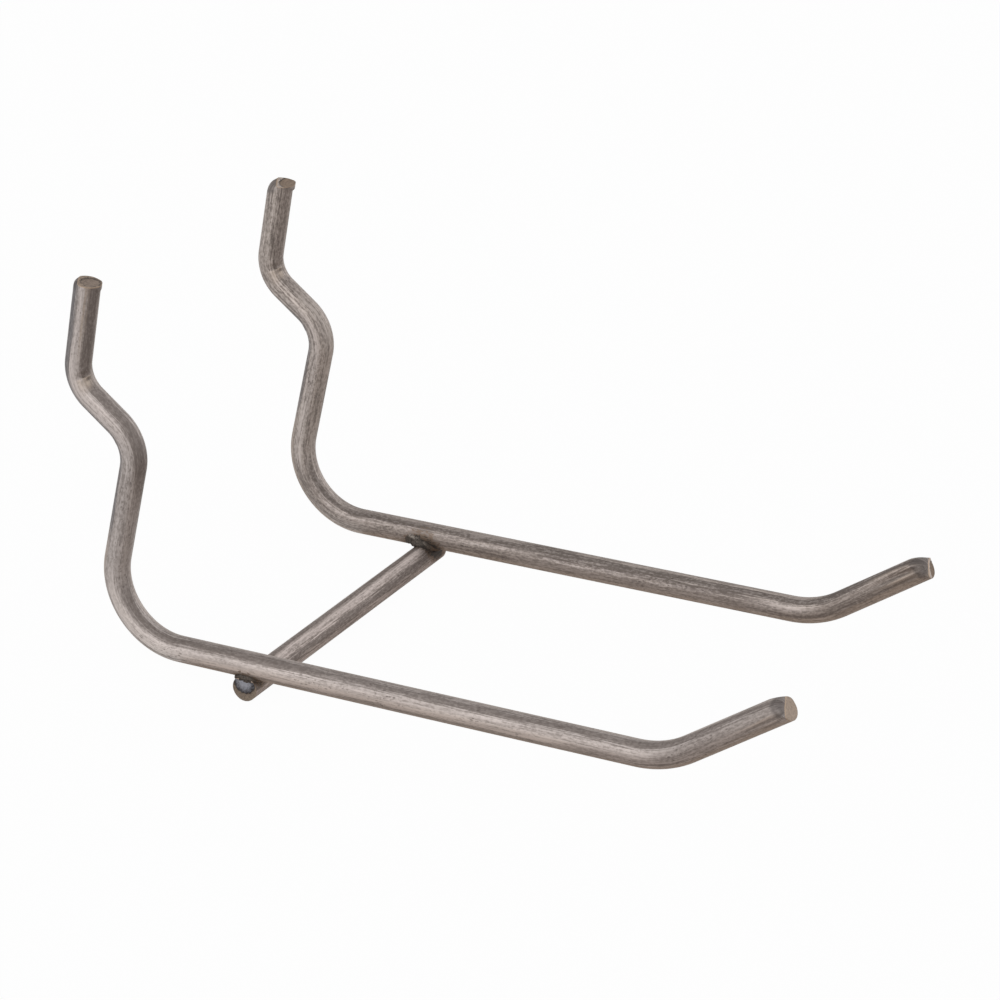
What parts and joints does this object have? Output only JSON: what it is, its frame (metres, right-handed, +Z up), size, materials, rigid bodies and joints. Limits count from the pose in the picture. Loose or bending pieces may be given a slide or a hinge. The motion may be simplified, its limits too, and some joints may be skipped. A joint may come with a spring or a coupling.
{
  "type": "pegboard hook",
  "caption": "Double wire pegboard hook: bent steel pegs that hook behind the board, long rising arms with turned-up tips, and a welded cross bar underneath.",
  "frame": {"origin": "on the board's front face, midway between the two hooks, level with the middle of the sloping runs that pass through the board's holes", "axes": "+X away from the board along the arms, +Y to the right for a person facing the board, +Z up"},
  "size_m": [0.1145, 0.0554, 0.0508],
  "materials": {
    "drawn_wire": "bare drawn steel, streaked along the wire and slightly tarnished",
    "cross_bar_wire": "bare drawn steel, streaked along the wire and slightly tarnished",
    "weld_flash": "dark scaled steel squeezed out by the resistance weld"
  },
  "bodies": {
    "root": {"left_wire": "drawn_wire", "right_wire": "drawn_wire", "cross_bar": "cross_bar_wire", "left_weld": "weld_flash", "right_weld": "weld_flash"}
  },
  "joints": []
}
